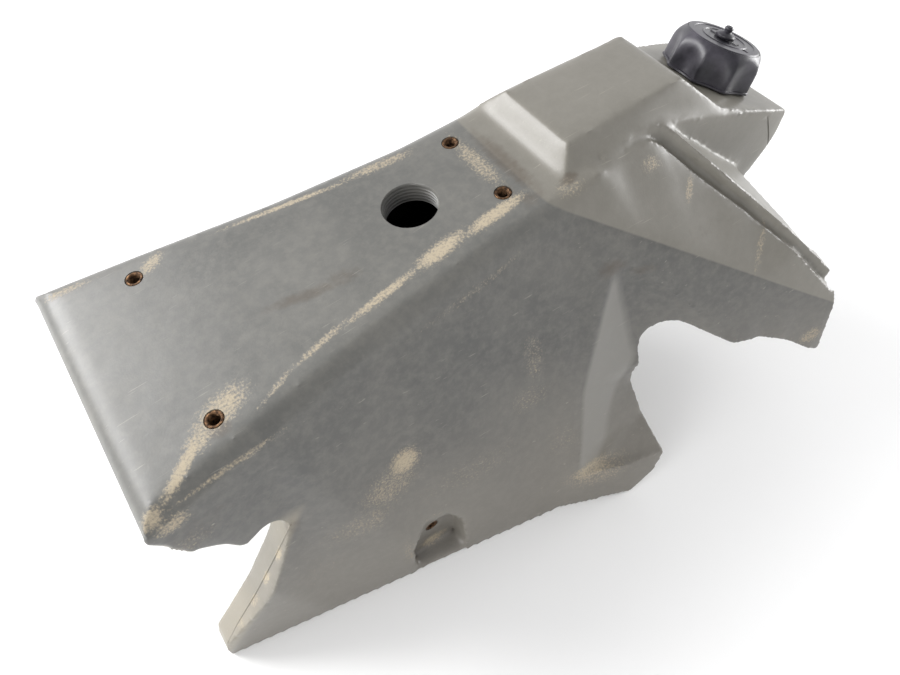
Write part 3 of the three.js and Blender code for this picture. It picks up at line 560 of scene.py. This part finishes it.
def blend(tree, factor, under, over):
    """One colour over another."""
    made = add(tree, "ShaderNodeMix", {0: factor}, data_type="RGBA")
    for index, value in ((6, under), (7, over)):
        if isinstance(value, bpy.types.NodeSocket):
            tree.links.new(value, made.inputs[index])
        else:
            made.inputs[index].default_value = value
    return made.outputs[2]


def line_in_z(tree, slope, start):
    """A straight line's x at every height, in metres."""
    return add(tree, "ShaderNodeMath", {0: spot["Z"], 1: slope, 2: start},
               operation="MULTIPLY_ADD").outputs[0]


def product(tree, factors):
    """Several factors as one."""
    whole = factors[0]
    for factor in factors[1:]:
        whole = add(tree, "ShaderNodeMath", {0: whole, 1: factor}, operation="MULTIPLY").outputs[0]
    return whole


# The front end, ahead of the deck and above the line of the wings, has gone olive. The sides below
# the deck's level are painted darker than the deck: painted shade, as the sides get less light than the top.
spot = add(tree, "ShaderNodeSeparateXYZ", {0: place}).outputs
over_wings = add(tree, "ShaderNodeMath", {0: spot["X"], 1: 0.628, 2: spot["Z"]},
                 operation="MULTIPLY_ADD").outputs[0]
over_deck = add(tree, "ShaderNodeMath", {0: spot["X"], 1: -math.tan(DECK_TILT), 2: spot["Z"]},
                operation="MULTIPLY_ADD").outputs[0]
ahead, above, level = [
    add(tree, "ShaderNodeMapRange", {"Value": value, "From Min": start, "From Max": full}).outputs[0]
    for value, start, full in
    [(spot["X"], 0.0225, 0.0265), (over_wings, 0.2924, 0.2938), (over_deck, 0.255, 0.266)]
]
# Painted shade: below the deck's level the sides take the darker grey.
base = blend(tree, level, SHADED_SIDE_GREY, GREY)
base = blend(tree, product(tree, [ahead, above]), base, OLIVE)

# The legs' rear faces are painted pale: their dust, and painted light where the rear light falls on them.
# Grime rises from the ground over the panniers.
past_leg = add(tree, "ShaderNodeMath", {0: spot["Z"], 1: LEG_REAR[0], 2: spot["X"]},
               operation="MULTIPLY_ADD").outputs[0]
behind = add(tree, "ShaderNodeMapRange", {
    "Value": past_leg, "From Min": LEG_REAR[1], "From Max": LEG_REAR[1] - 0.006,
}).outputs[0]
low = add(tree, "ShaderNodeMapRange", {"Value": spot["Z"], "From Min": 0.17, "From Max": 0.155}).outputs[0]
base = blend(tree, product(tree, [behind, low]), base, LEG_DUST_AND_LIGHT)
grime = add(tree, "ShaderNodeMapRange", {
    "Value": spot["Z"], "From Min": 0.2, "From Max": 0.02, "To Min": 0.0, "To Max": 0.5,
}, interpolation_type="SMOOTHSTEP").outputs[0]
base = blend(tree, grime, base, GRIME)

# The strip of the scoop ahead of each pannier, between its crease and its valley, is painted paler:
# a painted highlight where it faces the front light.
below, above_knee = [line_in_z(tree, *ends) for ends in SCOOP_CREASE]
crease_x = add(tree, "ShaderNodeMath", {0: below, 1: above_knee}, operation="MAXIMUM").outputs[0]
below, above_knee = [line_in_z(tree, *ends) for ends in SCOOP_VALLEY]
valley_x = add(tree, "ShaderNodeMath", {0: below, 1: above_knee}, operation="MINIMUM").outputs[0]
from_crease = add(tree, "ShaderNodeMath", {0: spot["X"], 1: crease_x}, operation="SUBTRACT").outputs[0]
to_valley = add(tree, "ShaderNodeMath", {0: valley_x, 1: spot["X"]}, operation="SUBTRACT").outputs[0]
limits = [  # the value, where it starts to count and where it counts in full
    (from_crease, -0.001, 0.004), (to_valley, -0.002, 0.006), (spot["Z"], 0.224, 0.205),
    (spot["Z"], 0.03, 0.045),
]
inside = [
    add(tree, "ShaderNodeMapRange", {"Value": value, "From Min": start, "From Max": full}).outputs[0]
    for value, start, full in limits
]
base = blend(tree, product(tree, [*inside, 0.75]), base, STRIP_HIGHLIGHT)

# Soft clouds 70 mm across, mottling of about 7 mm and a thin film of dust in 30 mm drifts.
cloud = add(tree, "ShaderNodeTexNoise", {
    "Vector": place, "Scale": 1 / (71.43 * MM), "Detail": 7, "Roughness": 0.6,
}).outputs[0]
cloudy = add(tree, "ShaderNodeMapRange", {
    "Value": cloud, "From Min": 0.35, "From Max": 0.7, "To Min": 0.0, "To Max": 0.22,
}).outputs[0]
base = blend(tree, cloudy, base, CLOUDED)
mottle = add(tree, "ShaderNodeTexNoise", {
    "Vector": place, "Scale": 1 / (6.667 * MM), "Detail": 9, "Roughness": 0.7,
}).outputs[0]
mottle = add(tree, "ShaderNodeMapRange", {
    "Value": mottle, "From Min": 0.42, "From Max": 0.66, "To Min": 0.0, "To Max": 0.22,
}).outputs[0]
base = blend(tree, mottle, base, MOTTLED)

dust = grainy(tree, place, patches(tree, place, DUST_PATCHES), 1.5, 2.0, 0.35, 1.1)
film = add(tree, "ShaderNodeTexNoise", {
    "Vector": place, "Scale": 1 / (33.33 * MM), "Detail": 8, "Roughness": 0.75,
}).outputs[0]
film = add(tree, "ShaderNodeMapRange", {
    "Value": film, "From Min": 0.5, "From Max": 0.8, "To Min": 0.0, "To Max": 0.5,
}).outputs[0]
film = grainy(tree, place, film, 1.1, 1.1, 0.35, 1.1)
stain = grainy(tree, place, patches(tree, place, DARK_PATCHES), 5.0, 0.9, 0.2, 1.0)

edge = add(tree, "ShaderNodeAttribute", attribute_name="edge").outputs["Fac"]
rubbed = add(tree, "ShaderNodeMapRange", {"Value": edge, "From Min": 0.25, "From Max": 1.6}).outputs[0]
rubbed = grainy(tree, place, rubbed, 2.2, 0.8, 0.25, 1.1)
# Creases and hollows, where rounding added plastic, are darkened with earth colour: the dirt that gathers
# there, and painted shade.
crease_dirt_and_shade = add(tree, "ShaderNodeMapRange", {"Value": edge, "From Min": -0.25, "From Max": -1.6}).outputs[0]
crease_dirt_and_shade = grainy(tree, place, crease_dirt_and_shade, 4.0, 0.5, 0.1, 1.0)

# Scratches: fine pale lines 45 mm long in a few directions, broken up so that most of the surface
# has none. They are drawn at 1 to 1.6 mm, wider than real ones, so that they show.
scratches = None
for angle, width, amount in ((12, 1.19, 0.72), (71, 1.587, 0.74), (-38, 1.02, 0.73), (118, 1.429, 0.75)):
    drawn_out = add(tree, "ShaderNodeMapping", {
        "Vector": place, "Rotation": (0, 0, math.radians(angle)),
        "Scale": (1 / (45.45 * MM), 1 / (width * MM), 1 / (3.333 * MM)),
    }).outputs[0]
    lines = add(tree, "ShaderNodeTexNoise", {"Vector": drawn_out, "Scale": 1.0, "Detail": 2}).outputs[0]
    lines = add(tree, "ShaderNodeMapRange", {
        "Value": lines, "From Min": amount, "From Max": amount + 0.08,
    }).outputs[0]
    if scratches is None:
        scratches = lines
    else:
        scratches = add(tree, "ShaderNodeMath", {0: scratches, 1: lines}, operation="MAXIMUM").outputs[0]
scratches = product(tree, [scratches, 0.22])

colour = blend(tree, film, base, SAND)
for mark, amount, shade in [
    (stain, 0.55, EARTH_AND_SHADE), (crease_dirt_and_shade, 0.6, EARTH_AND_SHADE), (dust, 0.78, SAND), (rubbed, 0.4, CHALK),
]:
    colour = blend(tree, product(tree, [mark, amount]), colour, shade)
colour = blend(tree, scratches, colour, CHALK)
tree.links.new(colour, shader.inputs["Base Color"])

gloss = add(tree, "ShaderNodeMapRange", {
    "Value": cloud, "From Min": 0.3, "From Max": 0.7, "To Min": 0.32, "To Max": 0.46,
}).outputs[0]
gloss = add(tree, "ShaderNodeMath", {0: dust, 1: 0.35, 2: gloss}, operation="MULTIPLY_ADD").outputs[0]
tree.links.new(gloss, shader.inputs["Roughness"])
shader.inputs["IOR"].default_value = 1.51
# The mould's sandblasted grain, drawn at 1.4 mm so that it shows, over slow waves of 22 mm.
fine = add(tree, "ShaderNodeTexNoise", {"Vector": place, "Scale": 1 / (1.429 * MM), "Detail": 3}).outputs[0]
waves = add(tree, "ShaderNodeTexNoise", {"Vector": place, "Scale": 1 / (22.22 * MM), "Detail": 2}).outputs[0]
relief = fine
for mark, height in ((waves, 6.0), (scratches, -1.2), (dust, 1.5)):
    relief = add(tree, "ShaderNodeMath", {0: mark, 1: height, 2: relief}, operation="MULTIPLY_ADD").outputs[0]
bump = add(tree, "ShaderNodeBump", {"Height": relief, "Strength": 0.35, "Distance": 0.12 * MM})
tree.links.new(bump.outputs[0], shader.inputs["Normal"])
shell.data.materials.append(polyethylene)
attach(shell, "tank")
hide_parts("tank_shell")

# ---------------------------------------------------------------- threaded inserts
# Brass bushes moulded into bosses of the shell. Each has a flange level with the plastic and a
# cut thread inside; they have gone brown from damp and grit. One tree makes all six.
INSERT_RADIUS = 5.0 * MM
INSERT_FLANGE = 5.4 * MM
INSERT_LENGTH = 11 * MM
THREAD_RADIUS = 4.0 * MM
THREAD_DEPTH = 0.4 * MM
BRASS_THREAD = 1.0 * MM

# Machined brass gone brown: dull, nearly black in its pits and a little warm on its high spots.
brown_brass, tree, shader, place = surface("tarnished brass")
tarnish = add(tree, "ShaderNodeTexNoise", {"Vector": place, "Scale": 1 / (2.381 * MM), "Detail": 5}).outputs[0]
tarnish = add(tree, "ShaderNodeMapRange", {"Value": tarnish, "From Min": 0.35, "From Max": 0.65}).outputs[0]
tree.links.new(blend(tree, tarnish, linear("#74583f"), linear("#2f221a")), shader.inputs["Base Color"])
rough = add(tree, "ShaderNodeMapRange", {"Value": tarnish, "To Min": 0.35, "To Max": 0.7}).outputs[0]
tree.links.new(rough, shader.inputs["Roughness"])
shader.inputs["Metallic"].default_value = 0.85
pits = add(tree, "ShaderNodeBump", {"Height": tarnish, "Strength": 0.5, "Distance": 0.1 * MM})
tree.links.new(pits.outputs[0], shader.inputs["Normal"])


def threaded_bush():
    """One bush: flange and body outside, a ring thread inside, closed and about its own Z."""
    crest = THREAD_RADIUS - THREAD_DEPTH
    flank = THREAD_RADIUS - THREAD_DEPTH * 0.2
    profile = [(THREAD_RADIUS + 0.25 * MM, 0)]
    for i in range(int(INSERT_LENGTH / BRASS_THREAD)):
        for radius, down in ((flank, 0.15), (crest, 0.5), (flank, 0.85)):
            profile.append((radius, -(i + down) * BRASS_THREAD))
    profile += [
        (THREAD_RADIUS, -INSERT_LENGTH), (INSERT_RADIUS - 0.3 * MM, -INSERT_LENGTH),
        (INSERT_RADIUS, -INSERT_LENGTH + 0.4 * MM), (INSERT_RADIUS, -1.0 * MM), (INSERT_FLANGE, -1.0 * MM),
        (INSERT_FLANGE, -0.25 * MM), (INSERT_FLANGE - 0.3 * MM, 0),
    ]
    shape = bmesh.new()
    slices = [[shape.verts.new((r * math.cos(a), r * math.sin(a), h)) for r, h in profile]
              for a in angles(36)]
    for here, there in zip(slices, slices[1:] + slices[:1]):
        for k in range(len(profile)):
            after = (k + 1) % len(profile)
            shape.faces.new([here[k], there[k], there[after], here[after]])
    return solid("bush", shape)


def scatter(name, pattern, places, material):
    """A copy of a pattern piece at every place, made by a tree of Geometry Nodes as one plain mesh."""
    points = bpy.data.meshes.new(name)
    points.from_pydata([p.to_translation() for p in places], [], [])
    turns = points.attributes.new("turn", "FLOAT_VECTOR", "POINT")
    turns.data.foreach_set("vector", [v for p in places for v in p.to_euler()])
    piece = new_object(name, points)
    tree = bpy.data.node_groups.new(name, "GeometryNodeTree")
    tree.interface.new_socket("Geometry", in_out="INPUT", socket_type="NodeSocketGeometry")
    tree.interface.new_socket("Pattern", in_out="INPUT", socket_type="NodeSocketObject")
    size = tree.interface.new_socket("Size", in_out="INPUT", socket_type="NodeSocketFloat")
    size.default_value = 1.0
    tree.interface.new_socket("Geometry", in_out="OUTPUT", socket_type="NodeSocketGeometry")
    given = add(tree, "NodeGroupInput").outputs
    original = add(tree, "GeometryNodeObjectInfo", {"Object": given["Pattern"]}).outputs["Geometry"]
    turn = add(tree, "GeometryNodeInputNamedAttribute", {"Name": "turn"}, data_type="FLOAT_VECTOR")
    rotation = add(tree, "FunctionNodeEulerToRotation", {0: turn.outputs[0]}).outputs[0]
    copies = add(tree, "GeometryNodeInstanceOnPoints", {
        "Points": given["Geometry"], "Instance": original, "Rotation": rotation, "Scale": given["Size"],
    }).outputs[0]
    solid = add(tree, "GeometryNodeRealizeInstances", {0: copies}).outputs[0]
    finished = add(tree, "GeometryNodeSetMaterial", {"Geometry": solid, "Material": material}).outputs[0]
    tree.links.new(finished, add(tree, "NodeGroupOutput").inputs[0])
    copier = piece.modifiers.new(name, "NODES")
    copier.node_group = tree
    identifiers = {item.name: item.identifier for item in tree.interface.items_tree if item.in_out == "INPUT"}
    copier[identifiers["Pattern"]] = pattern
    bake(piece)
    bpy.data.objects.remove(pattern)
    for polygon in piece.data.polygons:
        polygon.use_smooth = False
    return piece


inserts = scatter("threaded_inserts", threaded_bush(), insert_places, brown_brass)
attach(inserts, "tank")
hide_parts(*[n for n in sorted(frame["nodes"]) if n.startswith(("deck_insert", "side_insert"))])

# ---------------------------------------------------------------- screw cap
# An injection-moulded cap with nine broad grip scallops that fade out in its rounded shoulder, and
# a thin skirt rim. Its dark plastic has a faint sheen.
CAP_HEIGHT = 28 * MM
CAP_LOBES = 9
SCALLOP = 4.4 * MM
CAP_INSIDE = 28.8 * MM
CAP_ROOF = 23.2 * MM
RECESS_RADIUS = 28.3 * MM
RECESS_DEPTH = 1.7 * MM
VENT_HOLE = 4.2 * MM
CAP_ROWS = [  # millimetres: height and radius, then how deep the scallops are there
    (1.5, 35.4, 0.72), (2.1, 36.0, 0.72), (3.1, 36.0, 0.78), (3.6, 35.3, 0.95), (6, 35.2, 1.0),
    (11, 35.1, 1.0), (15, 34.9, 0.92), (18, 34.6, 0.78), (20.5, 34.0, 0.6), (22.5, 33.2, 0.42),
    (24.5, 32.0, 0.24), (26.2, 30.6, 0.1), (27.3, 29.4, 0.03), (28, 28.6, 0.0),
]

# Injection-moulded polypropylene: a dull sheen, and a grey bloom in patches where it has aged. Its
# spark grain is drawn at 1.1 mm, coarser than real, so that it shows.
black_plastic, tree, shader, place = surface("moulded black polypropylene")
bloom = add(tree, "ShaderNodeTexNoise", {
    "Vector": place, "Scale": 1 / (18.18 * MM), "Detail": 6, "Roughness": 0.6,
}).outputs[0]
bloom = add(tree, "ShaderNodeMapRange", {"Value": bloom, "From Min": 0.4, "From Max": 0.75}).outputs[0]
tree.links.new(blend(tree, bloom, linear("#1d1c22"), linear("#45424a")), shader.inputs["Base Color"])
rough = add(tree, "ShaderNodeMapRange", {"Value": bloom, "To Min": 0.3, "To Max": 0.46}).outputs[0]
tree.links.new(rough, shader.inputs["Roughness"])
shader.inputs["IOR"].default_value = 1.49
grain = add(tree, "ShaderNodeTexNoise", {"Vector": place, "Scale": 1 / (1.111 * MM), "Detail": 2}).outputs[0]
spark = add(tree, "ShaderNodeBump", {"Height": grain, "Strength": 0.15, "Distance": 0.08 * MM})
tree.links.new(spark.outputs[0], shader.inputs["Normal"])


def vent_hole():
    """The round hole for the vent plug, through the cap's roof and its plate."""
    return turned("vent hole", [(0, 20 * MM), (VENT_HOLE, 20 * MM), (VENT_HOLE, 40 * MM), (0, 40 * MM)],
                  NECK_PLACE, 40)


shape = bmesh.new()
rings = []
for height, rim, share in CAP_ROWS:
    ring = []
    for angle in angles(216):
        radius = rim * MM - SCALLOP * share * abs(math.sin(CAP_LOBES * angle / 2)) ** 1.25
        ring.append(shape.verts.new((radius * math.cos(angle), radius * math.sin(angle), height * MM)))
    rings.append(ring)
cap = tube("cap_grip", shape, rings, NECK_PLACE)
hollow = turned("hollow", [(0, 0), (CAP_INSIDE, 0), (CAP_INSIDE, CAP_ROOF), (0, CAP_ROOF)], NECK_PLACE, 96)
ridge = thread_ridge("ridge", CAP_INSIDE, 1.2 * MM, math.pi, NECK_PLACE)
combine(hollow, [ridge], "DIFFERENCE")
recess_floor = CAP_HEIGHT - RECESS_DEPTH
recess = turned("recess", [
    (0, recess_floor), (RECESS_RADIUS, recess_floor), (RECESS_RADIUS, CAP_HEIGHT + 2 * MM),
    (0, CAP_HEIGHT + 2 * MM),
], NECK_PLACE, 128)
combine(cap, [hollow, recess, vent_hole()], "DIFFERENCE")
soft_shade(cap)
cap.data.materials.append(black_plastic)
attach(cap, "cap")
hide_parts("cap_shell")

# ---------------------------------------------------------------- cap's top plate
# A round plate pressed into the cap, with a raised rim, a sunken round field and two flat ribs
# that run out from the vent. A small slot beside them shows the lock's tab.
PLATE_EDGE = [  # millimetres: radius and height, from underneath, round the rim and in to the middle
    (0, 26.6), (27.6, 26.6), (28.0, 27.0), (28.0, 28.0), (27.2, 28.7), (23.6, 28.8), (23.1, 28.3),
    (17.6, 28.4), (17.1, 28.9), (16.0, 28.9), (15.5, 28.4), (0, 28.4),
]
plate = turned("cap_plate", [(r * MM, h * MM) for r, h in PLATE_EDGE], NECK_PLACE, 128)


def slab(name, size, centre, place):
    """A plain block, for a rib or a slot."""
    shape = bmesh.new()
    bmesh.ops.create_cube(shape, size=1, matrix=Matrix.Translation(centre) @ Matrix.Diagonal((*size, 1)))
    return solid(name, shape, place)


rib = slab("rib", (4.4 * MM, 24 * MM, 1.4 * MM), (0, 0, 28.6 * MM), NECK_PLACE)
slot = slab("slot", (3 * MM, 5 * MM, 4 * MM), (0, -20.2 * MM, 29.8 * MM), NECK_PLACE)
combine(plate, [rib], "UNION")
combine(plate, [vent_hole(), slot], "DIFFERENCE")
soft_shade(plate, 24)
plate.data.materials.append(black_plastic)
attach(plate, "cap")
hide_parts("cap_disc")

# ---------------------------------------------------------------- cap vent
# A hollow plug with a hose nipple, pushed through plate and roof. A steel ball on a nylon ring
# closes it when the motorcycle lies on its side.
NIPPLE = [  # millimetres: radius and height, from the chamber's foot up to the barbed tip
    (0, 22.7), (3.8, 22.7), (3.8, 29.2), (7.2, 29.2), (7.4, 29.8), (7.2, 31.0), (5.4, 32.4), (3.4, 33.0),
    (2.8, 33.6), (2.8, 34.4), (3.3, 35.4), (3.2, 36.0), (2.4, 37.0), (0, 37.0),
]
CHAMBER = [(0, 22), (2.35, 22), (2.35, 29.1), (1.3, 29.9), (1.3, 38), (0, 38)]
plug = turned("vent_nipple", [(r * MM, h * MM) for r, h in NIPPLE], NECK_PLACE, 48)
chamber = turned("chamber", [(r * MM, h * MM) for r, h in CHAMBER], NECK_PLACE, 32)
combine(plug, [chamber], "DIFFERENCE")
soft_shade(plug)
plug.data.materials.append(black_plastic)
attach(plug, "cap")
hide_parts("vent_plug")

# Moulded nylon left in its own colour: ivory, hazy and half matt.
nylon, tree, shader, place = surface("natural nylon")
haze = add(tree, "ShaderNodeTexNoise", {"Vector": place, "Scale": 1 / (6.25 * MM), "Detail": 3}).outputs[0]
tree.links.new(blend(tree, haze, linear("#e8e2d0"), linear("#cdbf9c")), shader.inputs["Base Color"])
shader.inputs["Roughness"].default_value = 0.45
shader.inputs["IOR"].default_value = 1.53

# Zinc plated steel: bright, with drawing lines 8 mm long and 1.1 mm apart, coarser than real.
steel, tree, shader, place = surface("zinc plated steel")
lined = add(tree, "ShaderNodeMapping", {
    "Vector": place, "Scale": (1 / (1.111 * MM), 1 / (1.111 * MM), 1 / (8.333 * MM)),
}).outputs[0]
brushed = add(tree, "ShaderNodeTexNoise", {"Vector": lined, "Scale": 1.0, "Detail": 3}).outputs[0]
tree.links.new(blend(tree, brushed, linear("#b9b9b4"), linear("#8f8f8c")), shader.inputs["Base Color"])
rough = add(tree, "ShaderNodeMapRange", {"Value": brushed, "To Min": 0.22, "To Max": 0.42}).outputs[0]
tree.links.new(rough, shader.inputs["Roughness"])
shader.inputs["Metallic"].default_value = 1.0

# Cut nitrile sheet: matt black with a chalky bloom.
rubber, tree, shader, place = surface("nitrile rubber")
chalky = add(tree, "ShaderNodeTexNoise", {"Vector": place, "Scale": 1 / (3.846 * MM), "Detail": 4}).outputs[0]
tree.links.new(blend(tree, chalky, linear("#151515"), linear("#343331")), shader.inputs["Base Color"])
shader.inputs["Roughness"].default_value = 0.75

# Die-cast zinc alloy as it leaves the die: satin grey, with a slightly uneven skin.
alloy, tree, shader, place = surface("die cast zinc alloy")
skin = add(tree, "ShaderNodeTexNoise", {"Vector": place, "Scale": 1 / (4.545 * MM), "Detail": 5}).outputs[0]
tree.links.new(blend(tree, skin, linear("#a7a8a6"), linear("#777876")), shader.inputs["Base Color"])
rough = add(tree, "ShaderNodeMapRange", {"Value": skin, "To Min": 0.38, "To Max": 0.6}).outputs[0]
tree.links.new(rough, shader.inputs["Roughness"])
shader.inputs["Metallic"].default_value = 0.95
sand = add(tree, "ShaderNodeBump", {"Height": skin, "Strength": 0.3, "Distance": 0.1 * MM})
tree.links.new(sand.outputs[0], shader.inputs["Normal"])

# ---------------------------------------------------------------- fuel tap and small parts
# The tap is a die-cast body with a rubber packing under its lever, a steel cover plate on two small
# screws, and a nylon strainer inside the tank. Two screws hold it to brass inserts.
FINISHES = {
    "brass": brown_brass, "black_plastic": black_plastic, "rubber": rubber, "steel": steel,
    "cast_alloy": alloy, "nylon": nylon, "polyethylene": polyethylene,
}
CAST = ("tap_body", "tap_lever")
CAST_EDGE = 0.7 * MM
slots = {item["node"]: item["material_slot"] for item in frame["record"]["subparts"]}
bodies = {node: body for body, nodes in frame["record"]["behaviour"]["bodies"].items() for node in nodes}
shown = [n for n in sorted(frame["nodes"]) if not frame["nodes"][n].hide_render]
for node in shown:
    if node in CAST:
        piece = merged_copy(node, node.replace("tap_", "tap_cast_"))
        shape = bmesh.new()
        shape.from_mesh(piece.data)
        bmesh.ops.dissolve_limit(shape, angle_limit=math.radians(1), verts=shape.verts, edges=shape.edges)
        shape.to_mesh(piece.data)
        shape.free()
        bevel = piece.modifiers.new("edge", "BEVEL")
        bevel.width = CAST_EDGE
        bevel.segments = 2
        bevel.angle_limit = math.radians(40)
        bake(piece)
        soft_shade(piece, 30)
        piece.data.materials.clear()
        piece.data.materials.append(FINISHES[slots[node]])
        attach(piece, bodies[node])
        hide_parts(node)
    else:
        cad = frame["nodes"][node]
        cad.data.materials.clear()
        cad.data.materials.append(FINISHES[slots[node]])
